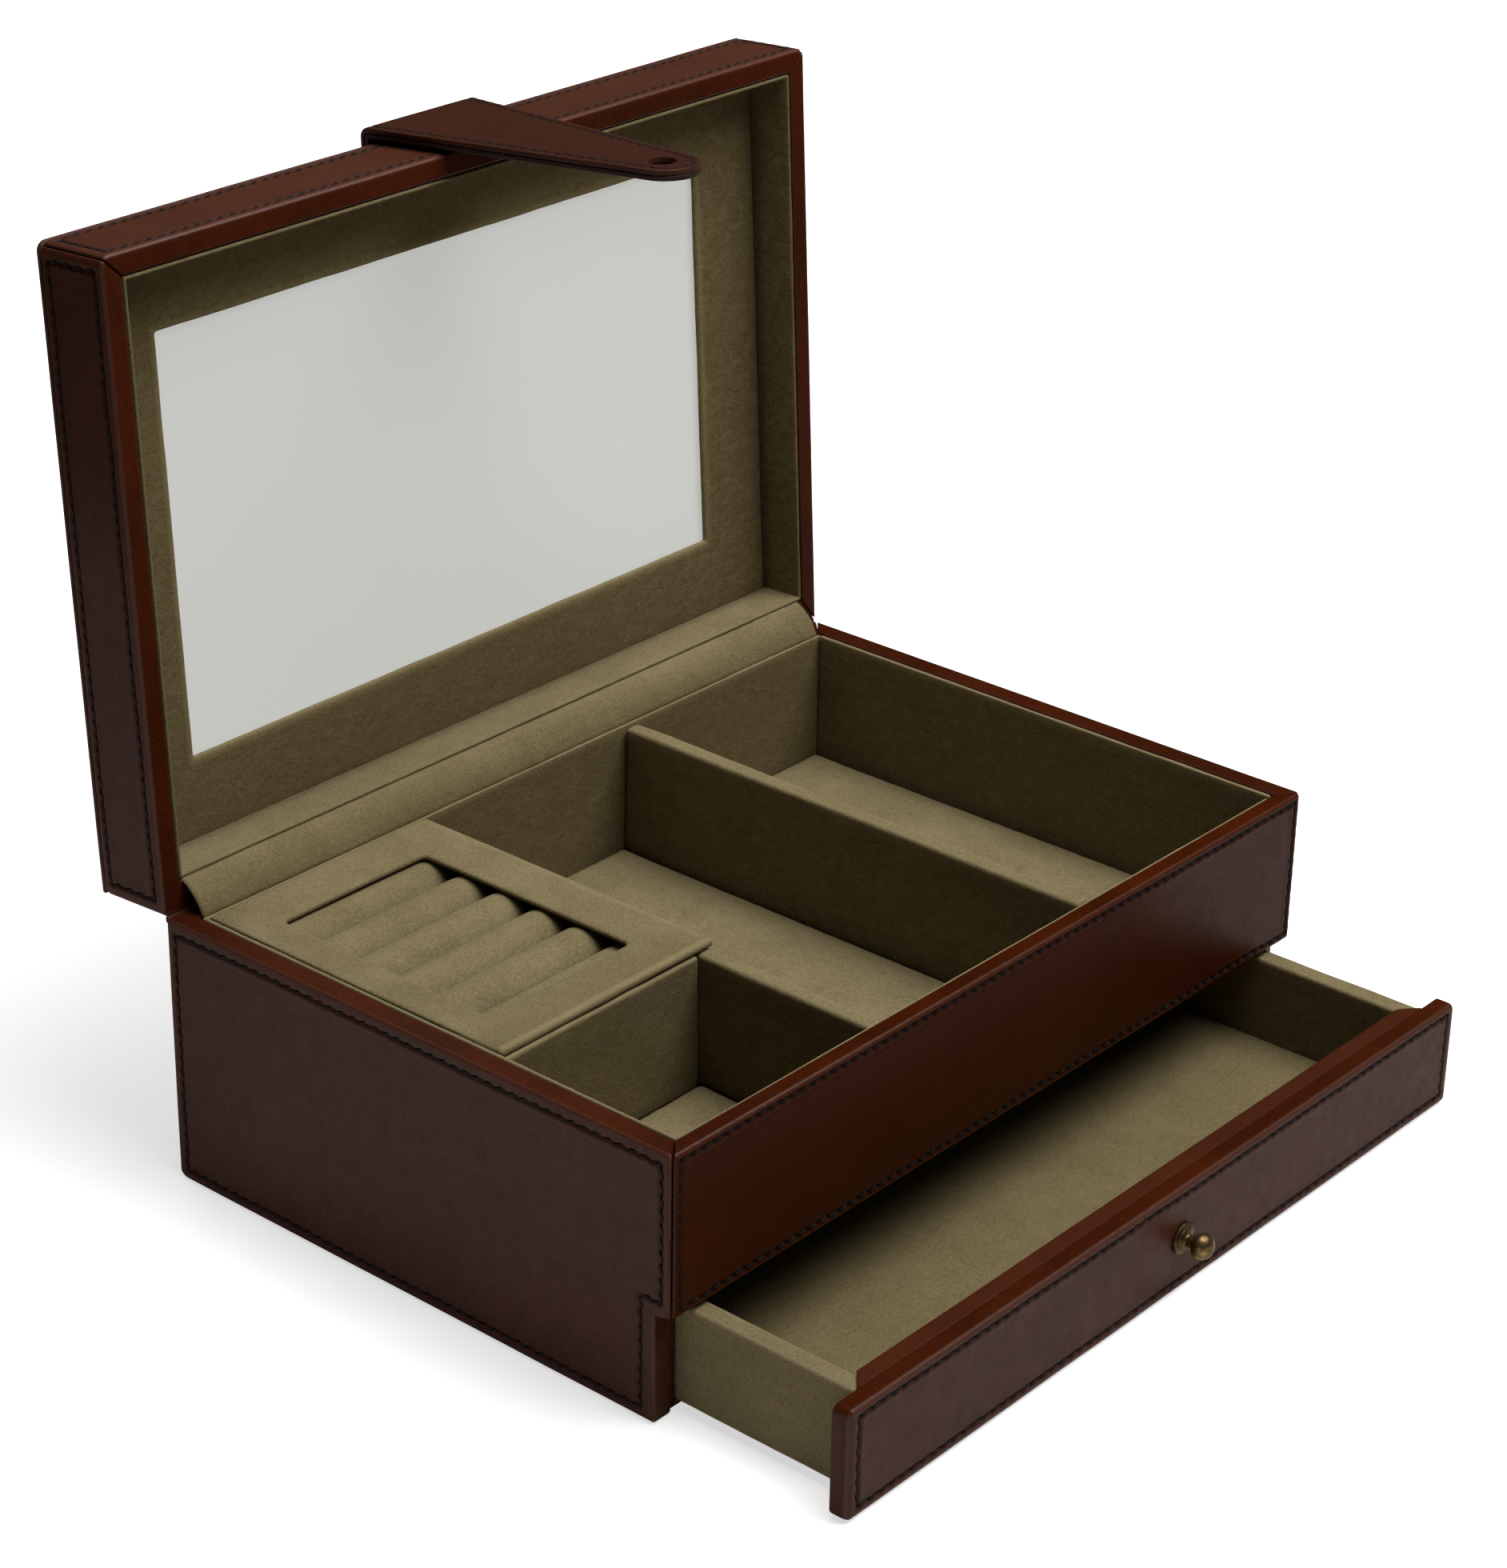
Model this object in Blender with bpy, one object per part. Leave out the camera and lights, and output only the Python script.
"""Leather-covered jewellery case: a boarded base with divided compartments and a
ring tray, a drawer under them, a hinged lid with a mirror, and a leather strap
that buttons over the drawer's knob and so holds both lid and drawer shut.

Sizes are in millimetres, built in metres. +Z is up, the front faces -Y, left is -X,
x = 0 on the centre plane and z = 0 under the case. Everything is drawn with the lid
shut and the drawer in. Empties on the joints then open the lid and draw out the
drawer; a third, on the strap's bend, rides with the lid.
"""

import math
from contextlib import contextmanager

import bmesh
import bpy
from mathutils import Matrix, Vector

MM = 0.001

# ---- overall -------------------------------------------------------------
WIDTH = 300.0
DEPTH = 201.0
HALF_W = WIDTH / 2
HALF_D = DEPTH / 2
BASE_TOP = 88.5
LID_HEIGHT = 28.1
GAP = 0.3  # joint between neighbouring pieces
LID_OPEN_DEG = 93.2  # lid angle on display
DRAWER_OUT = 62.6  # drawer travel on display

LEATHER_T = 1.3
INSET = LEATHER_T + GAP  # outside of the leather to the board under it
LEATHER_ROUND = 0.9  # rounding of the leather's folded edges

CLEAR = 20.0  # how far a cutter runs past what it cuts
OVERLAP = 1.0  # how far joined parts run into each other

# ---- base ----------------------------------------------------------------
BAY_TOP = 36.4  # underside of the front rail
NOTCH = 6.4  # set-back of the side panels below the rail
NOTCH_Y = -HALF_D + NOTCH
RIM_SIDE = 7.5  # width of the leather rim, left and right
RIM_FRONT = 6.0  # width of the leather rim at the front
BOARD_IN = HALF_W - RIM_SIDE  # inner face of the side boards, above the bay
BAY_HALF = 140.8  # half width of the drawer bay
SHELF_Z = (37.0, 41.2)
BACK_BOARD_Y = 93.4  # front face of the back board
BOTTOM_Z = (0.8, 2.1)
FELT_TOP = 0.5

# ---- compartments --------------------------------------------------------
LINER_SIDE_T = 1.5
LINER_FRONT_T = 1.2
LINER_BACK_T = 1.1
LINER_SIDE_TOP = BASE_TOP - 0.5
LINER_FRONT_TOP = 87.3
LINER_FRONT_Y = -HALF_D + RIM_FRONT + GAP  # outer face of the front liner
LINER_BACK_Y = BACK_BOARD_Y - GAP  # outer face of the back liner
LINER_BACK_IN = LINER_BACK_Y - LINER_BACK_T
LINER_SIDE_IN = BOARD_IN - GAP - LINER_SIDE_T
INNER_X = LINER_SIDE_IN - GAP  # half width inside the liners
INNER_Y = (LINER_FRONT_Y + LINER_FRONT_T + GAP, LINER_BACK_IN - GAP)
FLOOR_Z = SHELF_Z[1] + GAP  # underside of all that stands on the shelf
PAD_TOP = 45.0

DIVIDER_LEFT_X = (-57.5, -51.0)
DIVIDER_LEFT_TOP = 86.4
DIVIDER_RIGHT_X = (41.0, 47.5)
DIVIDER_RIGHT_TOP = 87.8
DIVIDER_CROSS_Y = (-29.0, -25.0)
SMALL_X = (-INNER_X, DIVIDER_LEFT_X[0] - GAP)  # left of the left divider

# ---- ring tray -----------------------------------------------------------
TRAY_X = (-140.4, -50.5)
TRAY_Y = (-28.0, 91.7)
TRAY_Z = (86.7, 88.6)
TRAY_CORNER_R = 1.2
WINDOW_X = (-127.5, -69.0)
WINDOW_Y = (-11.0, 73.7)
WINDOW_CORNER_R = 4.5
ROLLS = 5
ROLL_PITCH = 16.0
ROLL_R = 7.6
ROLL_FIRST_Y = 8.5
ROLL_X = (-133.0, -69.5)
ROLL_TOP = 86.2
BED_TOP = 71.0

# ---- lid -----------------------------------------------------------------
LID_Z0 = BASE_TOP + GAP
LID_Z1 = LID_Z0 + LID_HEIGHT
THROUGH_LID_Z = (LID_Z0 - CLEAR, LID_Z1 + CLEAR)
LID_RIM = 7.2  # front, left and right
LID_RIM_BACK = 9.4
WELL_X = HALF_W - LID_RIM  # half width inside the rim
WELL_Y = (-HALF_D + LID_RIM, HALF_D - LID_RIM_BACK)
MIRROR_DEPTH = 16.8  # rim plane to the face round the mirror
CARD_T = 2.2
GLASS_T = 2.2
CARD_Z = LID_Z0 + MIRROR_DEPTH
GLASS_Z = CARD_Z + CARD_T + GAP
LID_BOARD_Z = GLASS_Z + GLASS_T + GAP
LID_SKIN_Z = LID_Z1 - LEATHER_T  # underside of the top leather
MIRROR_X = (-119.0, 112.7)
MIRROR_Y = (-68.2, 64.0)
MIRROR_CORNER_R = 1.0
LID_LINER_T = 1.2

# ---- hinges --------------------------------------------------------------
AXIS_Y = HALF_D
AXIS_Z = BASE_TOP + GAP / 2
BARREL_R = 2.0
PIN_R = 1.0
PIN_PLAY = 0.05
HINGE_X = (-95.0, 95.0)
HINGE_L = 30.0
LEAF_T = 0.7
LEAF_Y = 93.9  # front edge of the leaves
LEAF_TO_BARREL = 0.4  # space between leaf and barrel, beside the tabs
HOUSING_PLAY = 0.4  # at each end of a hinge
SKIN_HOUSING_PLAY = 0.1  # extra height of the housings in the leather
COVER_X = (-142.0, 140.4)
COVER_BACK_Y = 98.1
COVER_T = 1.3

# ---- drawer --------------------------------------------------------------
FRONT_Z = (0.3, 35.7)
FRONT_T = NOTCH - GAP
FRONT_BACK_Y = -HALF_D + FRONT_T  # back face of the drawer's front
BOX_HALF = 140.3
BOX_SIDE_T = 7.0
BOX_SIDE_TOP = 35.2
BOX_IN = BOX_HALF - BOX_SIDE_T  # inner face of the sides
BETWEEN_SIDES = (-BOX_IN + GAP, BOX_IN - GAP)
BOX_FRONT_Y = FRONT_BACK_Y + GAP
BOX_BACK_Y = 90.0
BOX_Z0 = 2.4
BOX_BOTTOM_T = 2.0
BOX_PAD_T = 1.5
LIP_T = 5.2
LIP_Y = (BOX_FRONT_Y, BOX_FRONT_Y + LIP_T)

# ---- knob and strap ------------------------------------------------------
KNOB_X = 2.5
KNOB_Z = 18.3
FLANGE_R = 5.0
FLANGE_T = 0.8
NECK_R = 1.8
BALL_R = 4.0
BALL_OUT = 7.2  # centre of the ball in front of the drawer
BALL_FLATTENING = 0.86  # its half length along Y, over its radius
SHANK_R = 2.2
SCREW_R = 1.25
BORE_R = SCREW_R + 0.1
BORE_END = 1.5  # blind end of the screw's bore, in front of the drawer

STRAP_T = 1.5  # each of the two layers
STRAP_TOTAL = 2 * STRAP_T + GAP
STRAP_OFF = 1.4  # strap's inner face in front of the case's front
STRAP_Y = -HALF_D - STRAP_OFF
STRAP_HALF_TOP = 23.0  # half width at the bend
STRAP_TIP_R = 10.0
STRAP_TIP_Z = 6.6
STRAP_HOLE_R = 4.2
BEND_Y = STRAP_Y - STRAP_TOTAL / 2
BEND_Z = LID_Z1 + GAP + STRAP_TOTAL / 2
ANCHOR_BACK_Y = -62.0

# Kind: base colour (linear RGB), roughness, metallic.
FINISHES = {
    "leather": ((0.075, 0.018, 0.010), 0.34, 0.0),
    "leather_edge": ((0.11, 0.026, 0.009), 0.36, 0.0),
    "strap": ((0.070, 0.020, 0.012), 0.42, 0.0),
    "strap_back": ((0.050, 0.016, 0.010), 0.6, 0.0),
    "suede": ((0.165, 0.135, 0.070), 0.95, 0.0),
    "suede_dark": ((0.12, 0.098, 0.052), 0.95, 0.0),
    "board": ((0.36, 0.25, 0.15), 0.75, 0.0),
    "felt": ((0.05, 0.035, 0.022), 0.95, 0.0),
    "brass": ((0.36, 0.24, 0.09), 0.33, 1.0),
    "steel": ((0.45, 0.42, 0.36), 0.4, 1.0),
    "mirror": ((0.80, 0.82, 0.80), 0.04, 1.0),
}


# ---- making pieces -------------------------------------------------------
def clear():
    for obj in list(bpy.data.objects):
        bpy.data.objects.remove(obj, do_unlink=True)


def material(name, kind):
    colour, roughness, metallic = FINISHES[kind]
    mat = bpy.data.materials.new(name)
    mat.use_nodes = True
    shader = mat.node_tree.nodes["Principled BSDF"]
    shader.inputs["Base Color"].default_value = (*colour, 1.0)
    shader.inputs["Roughness"].default_value = roughness
    shader.inputs["Metallic"].default_value = metallic
    mat.diffuse_color = (*colour, 1.0)
    return mat


def from_bmesh(name, bm, kind=None):
    bmesh.ops.recalc_face_normals(bm, faces=bm.faces)
    mesh = bpy.data.meshes.new(name)
    bm.to_mesh(mesh)
    bm.free()
    obj = bpy.data.objects.new(name, mesh)
    bpy.context.scene.collection.objects.link(obj)
    if kind:
        mesh.materials.append(material(name, kind))
    return obj


def block(name, x, y, z, kind=None):
    """A box from its three pairs of limits."""
    bm = bmesh.new()
    bmesh.ops.create_cube(bm, size=1.0)
    for v in bm.verts:
        v.co = Vector(
            (
                (x[0] if v.co.x < 0 else x[1]) * MM,
                (y[0] if v.co.y < 0 else y[1]) * MM,
                (z[0] if v.co.z < 0 else z[1]) * MM,
            )
        )
    return from_bmesh(name, bm, kind)


def place(plane, a, b, c):
    """Outline point (a, b) at distance c along the axis normal to the plane."""
    point = {"yz": (c, a, b), "xz": (a, c, b), "xy": (a, b, c)}[plane]
    return Vector(point) * MM


def slab(name, plane, outline, span, kind=None):
    """An outline drawn in a plane and carried over the span along its normal."""
    bm = bmesh.new()
    low = [bm.verts.new(place(plane, a, b, span[0])) for a, b in outline]
    high = [bm.verts.new(place(plane, a, b, span[1])) for a, b in outline]
    bm.faces.new(low)
    bm.faces.new(high)
    count = len(outline)
    for i in range(count):
        j = (i + 1) % count
        bm.faces.new((low[i], low[j], high[j], high[i]))
    return from_bmesh(name, bm, kind)


def circle(centre, radius, steps):
    turns = [2 * math.pi * i / steps for i in range(steps)]
    return [
        (centre[0] + radius * math.cos(t), centre[1] + radius * math.sin(t)) for t in turns
    ]


def rod(name, axis, centre, radius, span, steps=48, kind=None):
    """A cylinder along x or y through the centre, over the span."""
    plane = {"x": "yz", "y": "xz"}[axis]
    return slab(name, plane, circle(centre, radius, steps), span, kind)


def rounded(x, y, radius, steps=8):
    """A rectangle with rounded corners, as an outline."""
    outline = []
    for centre_x, centre_y, start in (
        (x[1] - radius, y[1] - radius, 0),
        (x[0] + radius, y[1] - radius, 90),
        (x[0] + radius, y[0] + radius, 180),
        (x[1] - radius, y[0] + radius, 270),
    ):
        for i in range(steps + 1):
            t = math.radians(start + 90 * i / steps)
            outline.append((centre_x + radius * math.cos(t), centre_y + radius * math.sin(t)))
    return outline


def turned(name, profile, steps, kind):
    """A turned piece on the knob's axis.

    The profile lists (distance in front of the drawer, radius); both ends lie on the axis.
    """
    bm = bmesh.new()
    rings = []
    for out, radius in profile:
        y = -HALF_D - out
        if radius < 1e-6:
            points = [(KNOB_X, KNOB_Z)]
        else:
            points = circle((KNOB_X, KNOB_Z), radius, steps)
        rings.append([bm.verts.new(Vector((x, y, z)) * MM) for x, z in points])
    for a, b in zip(rings[:-1], rings[1:]):
        for i in range(steps):
            j = (i + 1) % steps
            if len(a) == 1:
                bm.faces.new((a[0], b[i], b[j]))
            elif len(b) == 1:
                bm.faces.new((a[i], a[j], b[0]))
            else:
                bm.faces.new((a[i], a[j], b[j], b[i]))
    return smooth(from_bmesh(name, bm, kind))


# ---- working on pieces ---------------------------------------------------
@contextmanager
def editing(mesh):
    """The mesh as a bmesh, written back at the end."""
    bm = bmesh.new()
    bm.from_mesh(mesh)
    yield bm
    bm.to_mesh(mesh)
    bm.free()


def combine(obj, other, operation):
    """A Boolean, made final at once; the other object is used up."""
    mod = obj.modifiers.new(operation.lower(), "BOOLEAN")
    mod.operation = operation
    mod.solver = "EXACT"
    mod.object = other
    bpy.context.view_layer.update()
    graph = bpy.context.evaluated_depsgraph_get()
    mesh = bpy.data.meshes.new_from_object(obj.evaluated_get(graph))
    obj.modifiers.clear()
    old = obj.data
    obj.data = mesh
    bpy.data.meshes.remove(old)
    bpy.data.objects.remove(other, do_unlink=True)
    tidy(obj)


def tidy(obj):
    """Merges flat neighbours and stray points left by a Boolean."""
    with editing(obj.data) as bm:
        bmesh.ops.remove_doubles(bm, verts=bm.verts, dist=1e-7)
        bmesh.ops.dissolve_limit(
            bm, angle_limit=math.radians(0.05), verts=bm.verts, edges=bm.edges
        )


def less(obj, *cutters):
    for cutter in cutters:
        combine(obj, cutter, "DIFFERENCE")
    return obj


def plus(obj, *others):
    for other in others:
        combine(obj, other, "UNION")
    return obj


def bevel(obj, width, test, segments=3):
    """Rounds the sharp edges whose two ends (in millimetres) pass the test."""
    with editing(obj.data) as bm:
        edges = [
            e
            for e in bm.edges
            if len(e.link_faces) == 2
            and e.calc_face_angle(0.0) >= math.radians(30)
            and all(test(v.co.x / MM, v.co.y / MM, v.co.z / MM) for v in e.verts)
        ]
        bmesh.ops.bevel(
            bm,
            geom=edges,
            offset=width * MM,
            offset_type="OFFSET",
            segments=segments,
            profile=0.5,
            affect="EDGES",
            clamp_overlap=True,
        )
    return obj


def smooth(obj, angle=32):
    """Smooth shading, broken at real edges."""
    for polygon in obj.data.polygons:
        polygon.use_smooth = True
    with editing(obj.data) as bm:
        for e in bm.edges:
            e.smooth = (
                len(e.link_faces) == 2 and e.calc_face_angle(0.0) < math.radians(angle)
            )
    return obj


def soften(obj, width, test, segments=3):
    """Bevels the edges that pass the test, then shades smooth."""
    return smooth(bevel(obj, width, test, segments))


def near(a, b):
    return abs(a - b) < 0.02


def at_height(height):
    """A bevel test for the edges lying at this height."""
    return lambda x, y, z: near(z, height)


def mirror_x(obj, name, kind):
    """The left-hand piece, turned into the right-hand one."""
    mesh = obj.data.copy()
    with editing(mesh) as bm:
        for v in bm.verts:
            v.co.x = -v.co.x
        bmesh.ops.reverse_faces(bm, faces=bm.faces)
    mesh.materials.clear()
    mesh.materials.append(material(name, kind))
    new = bpy.data.objects.new(name, mesh)
    bpy.context.scene.collection.objects.link(new)
    return new


# ---- shared cutters ------------------------------------------------------
def mitre(outer, inner, keep):
    """Cuts all beyond the line outer-inner, seen from keep, and half a joint more."""
    outer, inner, keep = Vector(outer), Vector(inner), Vector(keep)
    along = (inner - outer).normalized()
    away = Vector((-along.y, along.x))
    if (keep - outer).dot(away) > 0:
        away = -away
    a = outer - along * CLEAR - away * (GAP / 2)
    b = inner + along * CLEAR - away * (GAP / 2)
    quad = [a, b, b + away * 2 * CLEAR, a + away * 2 * CLEAR]
    return slab("mitre", "xy", [(v.x, v.y) for v in quad], (-CLEAR, LID_Z1 + CLEAR))


def side_mitre(rim_x, rim_y):
    """Front corner of a left-hand piece whose rim's inner corner is at (-rim_x, rim_y)."""
    return mitre((-HALF_W, -HALF_D), (-rim_x, rim_y), keep=(-HALF_W, 0))


def front_mitres(rim_x, rim_y):
    """Both corners of a front piece."""
    return [
        mitre((side * HALF_W, -HALF_D), (side * rim_x, rim_y), keep=(0, -HALF_D))
        for side in (-1, 1)
    ]


def cut_housings(obj, y_front, z):
    """Cuts the spaces for the two hinges, open at the back."""
    reach = HINGE_L / 2 + HOUSING_PLAY
    for hinge_x in HINGE_X:
        span = (hinge_x - reach, hinge_x + reach)
        less(obj, block("housing", span, (y_front, HALF_D + CLEAR), z))


def knob_hole(radius, steps=48):
    span = (-HALF_D - CLEAR, -HALF_D + CLEAR)
    return rod("hole", "y", (KNOB_X, KNOB_Z), radius, span, steps)


# ---- base ----------------------------------------------------------------
def base_side_boards():
    """Thicker below the shelf, so that the shelf rests on them."""
    outline = [
        (-HALF_D + INSET, BAY_TOP + INSET),
        (-HALF_D + INSET, BASE_TOP - INSET),
        (HALF_D - INSET, BASE_TOP - INSET),
        (HALF_D - INSET, INSET),
        (NOTCH_Y + INSET, INSET),
        (NOTCH_Y + INSET, BAY_TOP + INSET),
    ]
    board = slab("base_left_board", "yz", outline, (-HALF_W + INSET, -BOARD_IN), "board")
    lower = block(
        "lower",
        (-BOARD_IN - OVERLAP, -BAY_HALF),
        (NOTCH_Y + INSET, HALF_D - INSET),
        (INSET, SHELF_Z[0] - GAP),
    )
    plus(board, lower)
    mirror_x(board, "base_right_board", "board")


def base_side_leather():
    """Outer face and rim, turned under at the bottom and round the notch."""
    outer = [
        (-HALF_D, BAY_TOP),
        (-HALF_D, BASE_TOP),
        (HALF_D, BASE_TOP),
        (HALF_D, 0),
        (NOTCH_Y, 0),
        (NOTCH_Y, BAY_TOP),
    ]
    hollow = [
        (-HALF_D - CLEAR, BAY_TOP + LEATHER_T),
        (-HALF_D - CLEAR, BASE_TOP - LEATHER_T),
        (HALF_D + CLEAR, BASE_TOP - LEATHER_T),
        (HALF_D + CLEAR, LEATHER_T),
        (NOTCH_Y + LEATHER_T, LEATHER_T),
        (NOTCH_Y + LEATHER_T, BAY_TOP + LEATHER_T),
    ]
    skin = slab("base_left_leather", "yz", outer, (-HALF_W, -BOARD_IN), "leather")
    plus(
        skin,
        block(
            "notch_return",
            (-BOARD_IN - 2 * OVERLAP, -BAY_HALF),
            (NOTCH_Y, NOTCH_Y + LEATHER_T),
            (0, BAY_TOP),
        ),
    )
    less(
        skin,
        slab("hollow", "yz", hollow, (-HALF_W + LEATHER_T, -BAY_HALF + CLEAR)),
        side_mitre(BOARD_IN, -HALF_D + RIM_FRONT),
    )
    # outer face, inner edge of the rim, and the notch's upright edges
    soften(
        skin,
        LEATHER_ROUND,
        lambda x, y, z: near(x, -HALF_W)
        or (near(z, BASE_TOP) and near(x, -BOARD_IN))
        or (near(y, NOTCH_Y) and z < BAY_TOP - 1 and x > -HALF_W + 1),
    )
    mirror_x(skin, "base_right_leather", "leather")


def base_front():
    """The rail over the drawer: board and leather."""
    block(
        "base_front_board",
        (-BOARD_IN + GAP, BOARD_IN - GAP),
        (-HALF_D + INSET, -HALF_D + RIM_FRONT),
        (BAY_TOP + INSET, BASE_TOP - INSET),
        "board",
    )
    rim_y = -HALF_D + RIM_FRONT
    skin = block(
        "base_front_leather",
        (-HALF_W, HALF_W),
        (-HALF_D, rim_y),
        (BAY_TOP, BASE_TOP),
        "leather_edge",
    )
    hollow = block(
        "hollow",
        (-HALF_W - CLEAR, HALF_W + CLEAR),
        (-HALF_D + LEATHER_T, rim_y + CLEAR),
        (BAY_TOP + LEATHER_T, BASE_TOP - LEATHER_T),
    )
    less(skin, hollow, *front_mitres(BOARD_IN, rim_y))
    soften(
        skin,
        LEATHER_ROUND,
        lambda x, y, z: near(y, -HALF_D) or (near(z, BASE_TOP) and near(y, rim_y)),
    )


def base_back_board():
    board = block(
        "base_back_board",
        (-BOARD_IN + GAP, BOARD_IN - GAP),
        (BACK_BOARD_Y, HALF_D - INSET),
        (BOTTOM_Z[1] + GAP, BASE_TOP - INSET),
        "board",
    )
    # narrower below the shelf, between the thicker side boards
    for x in ((-HALF_W - CLEAR, -BAY_HALF + GAP), (BAY_HALF - GAP, HALF_W + CLEAR)):
        y = (BACK_BOARD_Y - CLEAR, HALF_D + CLEAR)
        less(board, block("lower", x, y, (-CLEAR, SHELF_Z[0])))
    cut_housings(board, LEAF_Y - GAP, (BASE_TOP - INSET - LEAF_T - GAP, BASE_TOP + CLEAR))


def base_back_leather():
    """A panel between the side panels, stepped at its four corners."""
    edge = BOARD_IN - GAP
    wide = HALF_W - LEATHER_T - GAP
    outline = [
        (-edge, 0),
        (edge, 0),
        (edge, INSET),
        (wide, INSET),
        (wide, BASE_TOP - INSET),
        (edge, BASE_TOP - INSET),
        (edge, BASE_TOP),
        (-edge, BASE_TOP),
        (-edge, BASE_TOP - INSET),
        (-wide, BASE_TOP - INSET),
        (-wide, INSET),
        (-edge, INSET),
    ]
    skin = slab("base_back_leather", "xz", outline, (HALF_D - LEATHER_T, HALF_D), "leather")
    housing_z = BASE_TOP - INSET - LEAF_T - GAP - SKIN_HOUSING_PLAY
    cut_housings(skin, HALF_D - CLEAR, (housing_z, BASE_TOP + CLEAR))


def base_floors():
    """The shelf over the drawer, the bottom under it, and the felt beneath."""
    wide = (-BOARD_IN + GAP, BOARD_IN - GAP)
    bottom_y = (NOTCH_Y + INSET, HALF_D - INSET)
    block("base_shelf", wide, (LINER_FRONT_Y, LINER_BACK_Y), SHELF_Z, "board")
    bay_x = (-BAY_HALF + GAP, BAY_HALF - GAP)
    block("base_bottom_board", bay_x, bottom_y, BOTTOM_Z, "board")
    felt = block("base_bottom_felt", wide, bottom_y, (0, FELT_TOP), "felt")
    bevel(felt, 0.2, at_height(0), segments=1)


# ---- compartments --------------------------------------------------------
def liners():
    left = block(
        "liner_left",
        (-BOARD_IN + GAP, -LINER_SIDE_IN),
        (LINER_FRONT_Y, INNER_Y[1]),
        (FLOOR_Z, LINER_SIDE_TOP),
        "suede",
    )
    soften(left, 0.5, at_height(LINER_SIDE_TOP))
    mirror_x(left, "liner_right", "suede")
    block(
        "liner_front",
        (-INNER_X, INNER_X),
        (LINER_FRONT_Y, LINER_FRONT_Y + LINER_FRONT_T),
        (FLOOR_Z, LINER_FRONT_TOP),
        "suede",
    )
    block(
        "liner_back",
        (-BOARD_IN + GAP, BOARD_IN - GAP),
        (LINER_BACK_IN, LINER_BACK_Y),
        (FLOOR_Z, BASE_TOP - LEATHER_T - GAP),
        "suede",
    )


def floor_pads():
    middle_x = (DIVIDER_LEFT_X[1] + GAP, DIVIDER_RIGHT_X[0] - GAP)
    for name, x, y in (
        ("floor_pad_small", SMALL_X, (INNER_Y[0], DIVIDER_CROSS_Y[0] - GAP)),
        ("floor_pad_middle", middle_x, INNER_Y),
        ("floor_pad_right", (DIVIDER_RIGHT_X[1] + GAP, INNER_X), INNER_Y),
    ):
        pad = block(name, x, y, (FLOOR_Z, PAD_TOP), "suede")
        soften(pad, 1.2, at_height(PAD_TOP))


def dividers():
    for name, x, y, top in (
        ("divider_left", DIVIDER_LEFT_X, INNER_Y, DIVIDER_LEFT_TOP),
        ("divider_right", DIVIDER_RIGHT_X, INNER_Y, DIVIDER_RIGHT_TOP),
        ("divider_cross", SMALL_X, DIVIDER_CROSS_Y, DIVIDER_LEFT_TOP),
    ):
        soften(block(name, x, y, (FLOOR_Z, top), "suede"), 1.3, at_height(top))


def ring_tray():
    """A card frame over rolls lying in a raised, grooved bed."""
    outline = rounded(TRAY_X, TRAY_Y, TRAY_CORNER_R, steps=4)
    frame = slab("ring_tray_frame", "xy", outline, TRAY_Z, "suede")
    window = rounded(WINDOW_X, WINDOW_Y, WINDOW_CORNER_R)
    less(frame, slab("window", "xy", window, (TRAY_Z[0] - CLEAR, TRAY_Z[1] + CLEAR)))
    soften(frame, 0.5, at_height(TRAY_Z[1]), segments=2)

    bed_y = (DIVIDER_CROSS_Y[1] + GAP, INNER_Y[1])
    bed = block("ring_bed", SMALL_X, bed_y, (FLOOR_Z, BED_TOP), "suede_dark")
    groove_x = (ROLL_X[0] - GAP, ROLL_X[1] + GAP)
    for i in range(ROLLS):
        centre = (ROLL_FIRST_Y + i * ROLL_PITCH, ROLL_TOP - ROLL_R)
        less(bed, rod("groove", "x", centre, ROLL_R + GAP, groove_x, steps=64))
        roll = rod(f"ring_roll_{i + 1}", "x", centre, ROLL_R, ROLL_X, kind="suede")
        soften(
            roll,
            2.6,
            lambda x, y, z: near(x, ROLL_X[0]) or near(x, ROLL_X[1]),
            segments=4,
        )


# ---- hinges --------------------------------------------------------------
def knuckles(hinge_x):
    """Spans of the barrel's three knuckles along x."""
    half = HINGE_L / 2
    third = HINGE_L / 3
    return [
        (hinge_x - half, hinge_x - third / 2 - GAP / 2),
        (hinge_x - third / 2 + GAP / 2, hinge_x + third / 2 - GAP / 2),
        (hinge_x + third / 2 + GAP / 2, hinge_x + half),
    ]


def leaf(name, hinge_x, z, spans):
    """One leaf with its share of the barrel."""
    obj = block(
        name,
        (hinge_x - HINGE_L / 2, hinge_x + HINGE_L / 2),
        (LEAF_Y, AXIS_Y - BARREL_R - LEAF_TO_BARREL),
        z,
        "brass",
    )
    axis = (AXIS_Y, AXIS_Z)
    for span in spans:
        plus(
            obj,
            block("tab", span, (AXIS_Y - BARREL_R - OVERLAP, AXIS_Y), z),
            rod("barrel", "x", axis, BARREL_R, span, steps=40),
        )
    bore_x = (hinge_x - HINGE_L, hinge_x + HINGE_L)
    less(obj, rod("bore", "x", axis, PIN_R + PIN_PLAY, bore_x, steps=40))
    return smooth(obj)


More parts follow.
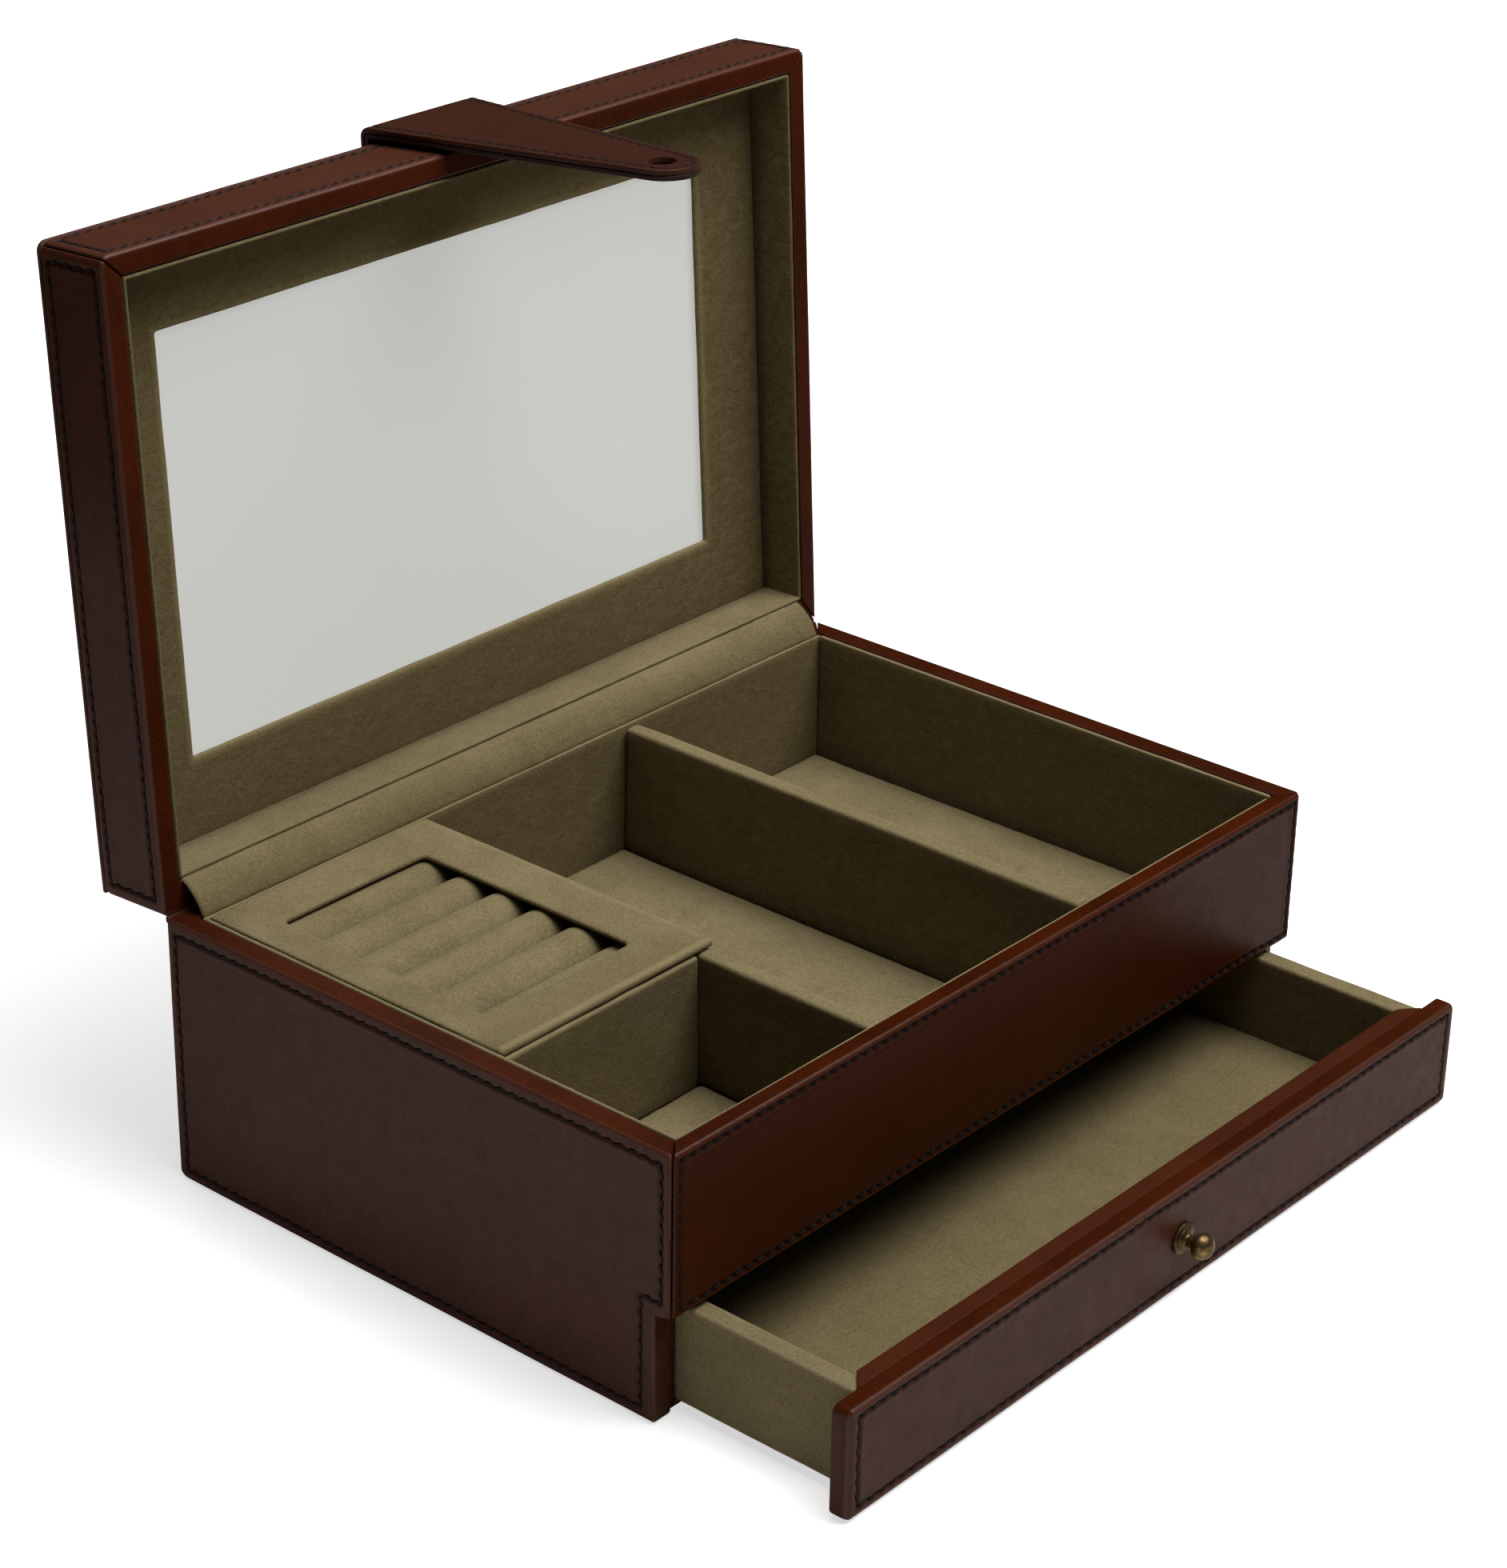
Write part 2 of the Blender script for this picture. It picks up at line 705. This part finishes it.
def hinge(side, hinge_x):
    """Returns the leaf that moves with the lid."""
    left, middle, right = knuckles(hinge_x)
    z0 = BASE_TOP - LEATHER_T - GAP - LEAF_T
    base_z = (z0, z0 + LEAF_T)
    lid_z = (2 * AXIS_Z - base_z[1], 2 * AXIS_Z - base_z[0])
    leaf(f"hinge_{side}_base_leaf", hinge_x, base_z, (left, right))
    lid_leaf = leaf(f"hinge_{side}_lid_leaf", hinge_x, lid_z, (middle,))
    pin_x = (hinge_x - HINGE_L / 2, hinge_x + HINGE_L / 2)
    axis = (AXIS_Y, AXIS_Z)
    smooth(rod(f"hinge_{side}_pin", "x", axis, PIN_R, pin_x, steps=40, kind="steel"))
    return lid_leaf


def hinge_cover(name, front_y, z, face_z):
    """A strip over the leaves, rounded along the front of its showing face."""
    strip = block(name, COVER_X, (front_y, COVER_BACK_Y), z, "suede")
    return soften(strip, 0.5, lambda x, y, z: near(z, face_z) and near(y, front_y))


def hinges():
    """Returns the parts that move with the lid."""
    moving = [hinge(side, x) for side, x in zip(("left", "right"), HINGE_X)]
    base_z = (BASE_TOP - COVER_T, BASE_TOP)
    hinge_cover("hinge_cover_base", LINER_BACK_IN, base_z, BASE_TOP)
    lid_z = (LID_Z0, LID_Z0 + COVER_T)
    moving.append(hinge_cover("hinge_cover_lid", WELL_Y[1], lid_z, LID_Z0))
    return moving


# ---- lid -----------------------------------------------------------------
def lid_boards():
    """The top board and the frame under it."""
    x = (-HALF_W + INSET, HALF_W - INSET)
    y = (-HALF_D + INSET, HALF_D - INSET)
    top = block("lid_top_board", x, y, (LID_BOARD_Z, LID_SKIN_Z - GAP), "board")
    frame = block("lid_frame", x, y, (LID_Z0 + INSET, LID_BOARD_Z - GAP), "board")
    less(frame, block("well", (-WELL_X, WELL_X), WELL_Y, THROUGH_LID_Z))
    cut_housings(frame, LEAF_Y - GAP, (LID_Z0 - CLEAR, LID_Z0 + INSET + LEAF_T + GAP))
    return [top, frame]


def lid_top_leather():
    top = block(
        "lid_top_leather",
        (-HALF_W, HALF_W),
        (-HALF_D, HALF_D),
        (LID_SKIN_Z, LID_Z1),
        "leather",
    )
    return soften(top, LEATHER_ROUND, at_height(LID_Z1))


def lid_side_leather():
    """Faces and rims, mitred at the front corners."""
    side = block(
        "lid_left_leather",
        (-HALF_W, -WELL_X),
        (-HALF_D, HALF_D),
        (LID_Z0, LID_SKIN_Z - GAP),
        "leather",
    )
    hollow = block(
        "hollow",
        (-HALF_W + LEATHER_T, 0),
        (-HALF_D - CLEAR, HALF_D + CLEAR),
        (LID_Z0 + LEATHER_T, LID_Z1 + CLEAR),
    )
    less(side, hollow, side_mitre(WELL_X, WELL_Y[0]))
    soften(
        side,
        LEATHER_ROUND,
        lambda x, y, z: (near(x, -HALF_W) and z < LID_SKIN_Z - 1)
        or (near(z, LID_Z0) and near(x, -WELL_X)),
    )
    return [side, mirror_x(side, "lid_right_leather", "leather")]


def lid_front_leather():
    front = block(
        "lid_front_leather",
        (-HALF_W, HALF_W),
        (-HALF_D, WELL_Y[0]),
        (LID_Z0, LID_SKIN_Z - GAP),
        "leather",
    )
    hollow = block(
        "hollow",
        (-HALF_W - CLEAR, HALF_W + CLEAR),
        (-HALF_D + LEATHER_T, 0),
        (LID_Z0 + LEATHER_T, LID_Z1 + CLEAR),
    )
    less(front, hollow, *front_mitres(WELL_X, WELL_Y[0]))
    return soften(
        front,
        LEATHER_ROUND,
        lambda x, y, z: (near(y, -HALF_D) and z < LID_SKIN_Z - 1)
        or (near(z, LID_Z0) and near(y, WELL_Y[0])),
    )


def lid_back_leather():
    """A panel between the side leathers, stepped at its lower corners."""
    edge = WELL_X - GAP
    wide = HALF_W - INSET
    outline = [
        (-edge, LID_Z0),
        (edge, LID_Z0),
        (edge, LID_Z0 + INSET),
        (wide, LID_Z0 + INSET),
        (wide, LID_SKIN_Z - GAP),
        (-wide, LID_SKIN_Z - GAP),
        (-wide, LID_Z0 + INSET),
        (-edge, LID_Z0 + INSET),
    ]
    back = slab("lid_back_leather", "xz", outline, (HALF_D - LEATHER_T, HALF_D), "leather")
    housing_z = LID_Z0 + INSET + LEAF_T + GAP + SKIN_HOUSING_PLAY
    cut_housings(back, HALF_D - CLEAR, (LID_Z0 - CLEAR, housing_z))
    return back


def lid_mirror():
    """Lining, the covered card round the mirror, and the glass."""
    half = WELL_X - GAP
    y0, y1 = WELL_Y[0] + GAP, WELL_Y[1] - GAP
    lining_z = (LID_Z0 + 0.3, CARD_Z - GAP)
    lining = block("lid_lining", (-half, half), (y0, y1), lining_z, "suede")
    less(
        lining,
        block(
            "well",
            (-half + LID_LINER_T, half - LID_LINER_T),
            (y0 + LID_LINER_T, y1 - LID_LINER_T),
            THROUGH_LID_Z,
        ),
    )
    card_z = (CARD_Z, CARD_Z + CARD_T)
    card = block("mirror_surround", (-half, half), (y0, y1), card_z, "suede")
    window = rounded(MIRROR_X, MIRROR_Y, MIRROR_CORNER_R, steps=4)
    less(card, slab("window", "xy", window, THROUGH_LID_Z))
    # only round the window, on the face that shows
    soften(
        card,
        0.7,
        lambda x, y, z: near(z, CARD_Z)
        and MIRROR_X[0] - 1 < x < MIRROR_X[1] + 1
        and MIRROR_Y[0] - 1 < y < MIRROR_Y[1] + 1,
    )
    glass = block(
        "mirror_glass",
        (-half + GAP, half - GAP),
        (y0 + GAP, y1 - GAP),
        (GLASS_Z, GLASS_Z + GLASS_T),
        "mirror",
    )
    return [lining, card, glass]


# ---- strap ---------------------------------------------------------------
def strap_anchor():
    """The strap's fixed end, on the lid's top."""
    top = LID_Z1 + GAP + STRAP_TOTAL
    anchor = block(
        "strap_anchor",
        (KNOB_X - STRAP_HALF_TOP, KNOB_X + STRAP_HALF_TOP),
        (STRAP_Y + GAP, ANCHOR_BACK_Y),
        (LID_Z1 + GAP, top),
        "strap",
    )
    return soften(anchor, 0.6, at_height(top))


def strap_outline(steps=24):
    """Straight sides from the bend, tangent to a round tip."""
    tip_z = STRAP_TIP_Z + STRAP_TIP_R
    drop = BEND_Z - tip_z
    reach = math.hypot(STRAP_HALF_TOP, drop)
    turn = math.acos(STRAP_TIP_R / reach) - math.atan2(drop, STRAP_HALF_TOP)
    start = -turn
    end = -math.pi + turn
    left, right = KNOB_X - STRAP_HALF_TOP, KNOB_X + STRAP_HALF_TOP
    top = BEND_Z + STRAP_TOTAL
    outline = [(right, top), (right, BEND_Z)]
    for i in range(steps + 1):
        t = start + (end - start) * i / steps
        outline.append((KNOB_X + STRAP_TIP_R * math.cos(t), tip_z + STRAP_TIP_R * math.sin(t)))
    return outline + [(left, BEND_Z), (left, top)]


def strap_layer(name, y, kind):
    layer = slab(name, "xz", strap_outline(), y, kind)
    # round the top end about the bend line
    corner_reach = STRAP_HALF_TOP + CLEAR
    bend_reach = corner_reach + CLEAR
    corner = block(
        "corner",
        (KNOB_X - corner_reach, KNOB_X + corner_reach),
        (STRAP_Y - CLEAR, STRAP_Y + CLEAR),
        (BEND_Z, BEND_Z + CLEAR),
    )
    bend_x = (KNOB_X - bend_reach, KNOB_X + bend_reach)
    less(corner, rod("bend", "x", (BEND_Y, BEND_Z), STRAP_TOTAL / 2, bend_x))
    less(layer, corner, knob_hole(STRAP_HOLE_R, steps=40))
    return smooth(layer)


def strap():
    """Two layers, drawn hanging down in front of the shut lid."""
    outer_y = STRAP_Y - STRAP_TOTAL
    return [
        strap_layer("strap_face", (outer_y, outer_y + STRAP_T), "strap"),
        strap_layer("strap_backing", (STRAP_Y - STRAP_T, STRAP_Y), "strap_back"),
    ]


# ---- drawer --------------------------------------------------------------
def drawer_front():
    """Board and leather, bored for the knob's shank."""
    board = block(
        "drawer_front_board",
        (-HALF_W + INSET, HALF_W - INSET),
        (-HALF_D + INSET, FRONT_BACK_Y),
        (FRONT_Z[0] + INSET, FRONT_Z[1] - INSET),
        "board",
    )
    skin = block(
        "drawer_front_leather", (-HALF_W, HALF_W), (-HALF_D, FRONT_BACK_Y), FRONT_Z, "leather"
    )
    hollow = block(
        "hollow",
        (-HALF_W + LEATHER_T, HALF_W - LEATHER_T),
        (-HALF_D + LEATHER_T, 0),
        (FRONT_Z[0] + LEATHER_T, FRONT_Z[1] - LEATHER_T),
    )
    less(skin, hollow)
    soften(
        skin,
        LEATHER_ROUND,
        lambda x, y, z: near(y, -HALF_D)
        or (near(abs(x), HALF_W) and (near(z, FRONT_Z[0]) or near(z, FRONT_Z[1]))),
    )
    return [less(obj, knob_hole(SHANK_R + GAP)) for obj in (board, skin)]


def drawer_walls():
    """Sides, back, and the box front with its leather lip."""
    wall_z = (BOX_Z0, BOX_SIDE_TOP)
    side_y = (BOX_FRONT_Y, BOX_BACK_Y)
    left = block("drawer_left_side", (-BOX_HALF, -BOX_IN), side_y, wall_z, "suede")
    soften(left, 1.0, at_height(BOX_SIDE_TOP))
    right = mirror_x(left, "drawer_right_side", "suede")
    front_z = (BOX_Z0, FRONT_Z[1] - LEATHER_T - GAP)
    front = block("drawer_box_front", BETWEEN_SIDES, LIP_Y, front_z, "suede")
    less(front, knob_hole(SCREW_R + GAP))
    lip_z = (FRONT_Z[1] - LEATHER_T, FRONT_Z[1])
    lip = block("drawer_lip_leather", BETWEEN_SIDES, LIP_Y, lip_z, "leather_edge")
    soften(lip, 0.6, lambda x, y, z: near(z, FRONT_Z[1]) and near(y, LIP_Y[1]))
    back_y = (BOX_BACK_Y - BOX_SIDE_T, BOX_BACK_Y)
    back = block("drawer_back", BETWEEN_SIDES, back_y, wall_z, "suede")
    soften(back, 1.0, at_height(BOX_SIDE_TOP))
    return [left, right, front, lip, back]


def drawer_floor():
    y = (LIP_Y[1] + GAP, BOX_BACK_Y - BOX_SIDE_T - GAP)
    bottom_top = BOX_Z0 + BOX_BOTTOM_T
    bottom = block("drawer_bottom", BETWEEN_SIDES, y, (BOX_Z0, bottom_top), "board")
    pad_z = (bottom_top + GAP, bottom_top + GAP + BOX_PAD_T)
    pad = block("drawer_floor_pad", BETWEEN_SIDES, y, pad_z, "suede")
    return [bottom, soften(pad, 0.6, at_height(pad_z[1]))]


def knob():
    """Flange, neck and flattened ball, with a hollow shank through the drawer's front."""
    shank_end = -(FRONT_T - 0.2)
    flange_in, flange_out = GAP, GAP + FLANGE_T
    ball_half = BALL_R * BALL_FLATTENING
    meet = math.acos(NECK_R / BALL_R)  # angle on the ball where the neck joins it
    profile = [
        # bore and shank
        (BORE_END, 0.0),
        (BORE_END, BORE_R),
        (shank_end, BORE_R),
        (shank_end, SHANK_R),
        (flange_in, SHANK_R),
        # flange
        (flange_in, FLANGE_R - 0.2),
        (flange_in + 0.2, FLANGE_R),
        (flange_out - 0.25, FLANGE_R - 0.05),
        (flange_out, FLANGE_R - 0.7),
        # neck
        (flange_out + 0.25, NECK_R + 1.2),
        (flange_out + 0.8, NECK_R + 0.25),
        (BALL_OUT - ball_half * math.sin(meet) - 0.5, NECK_R),
    ]
    ball_steps = 16
    for i in range(ball_steps + 1):
        t = -meet + (math.pi / 2 + meet) * i / ball_steps
        profile.append((BALL_OUT + ball_half * math.sin(t), BALL_R * math.cos(t)))
    return turned("knob", profile, 48, "brass")


def knob_screw():
    """Driven from inside the drawer into the knob's bore."""
    seat = -(LIP_Y[1] + HALF_D) - GAP  # underside of the head
    tip = BORE_END - GAP
    profile = [
        (seat - 1.3, 0.0),
        (seat - 1.3, 1.6),
        (seat - 0.9, 2.6),
        (seat, 3.0),
        (seat, SCREW_R),
        (tip - 0.2, SCREW_R),
        (tip, 0.0),
    ]
    return turned("knob_screw", profile, 32, "steel")


# ---- assembly ------------------------------------------------------------
def hold(name, location, children, parent=None):
    """Parents pieces drawn in the shut position to an empty on their joint.

    A parent empty must itself be unparented and not yet turned or moved.
    """
    empty = bpy.data.objects.new(name, None)
    empty.empty_display_size = 0.02
    bpy.context.scene.collection.objects.link(empty)
    spot = Vector(location) * MM
    empty.location = spot
    if parent:
        empty.parent = parent
        empty.location = spot - parent.location
    for child in children:
        child.parent = empty
        child.matrix_parent_inverse = Matrix.Translation(-spot)
    return empty


clear()

base_side_boards()
base_side_leather()
base_front()
base_back_board()
base_back_leather()
base_floors()

liners()
floor_pads()
dividers()
ring_tray()

lid_parts = [
    *hinges(),
    *lid_boards(),
    lid_top_leather(),
    *lid_side_leather(),
    lid_front_leather(),
    lid_back_leather(),
    *lid_mirror(),
    strap_anchor(),
]
strap_parts = strap()
drawer_parts = [*drawer_front(), *drawer_walls(), *drawer_floor(), knob(), knob_screw()]

lid_pivot = hold("lid_pivot", (0, AXIS_Y, AXIS_Z), lid_parts)
hold("strap_pivot", (KNOB_X, BEND_Y, BEND_Z), strap_parts, lid_pivot)
drawer_slide = hold("drawer_slide", (0, 0, 0), drawer_parts)
lid_pivot.rotation_euler = (-math.radians(LID_OPEN_DEG), 0, 0)
drawer_slide.location.y -= DRAWER_OUT * MM
bpy.context.view_layer.update()
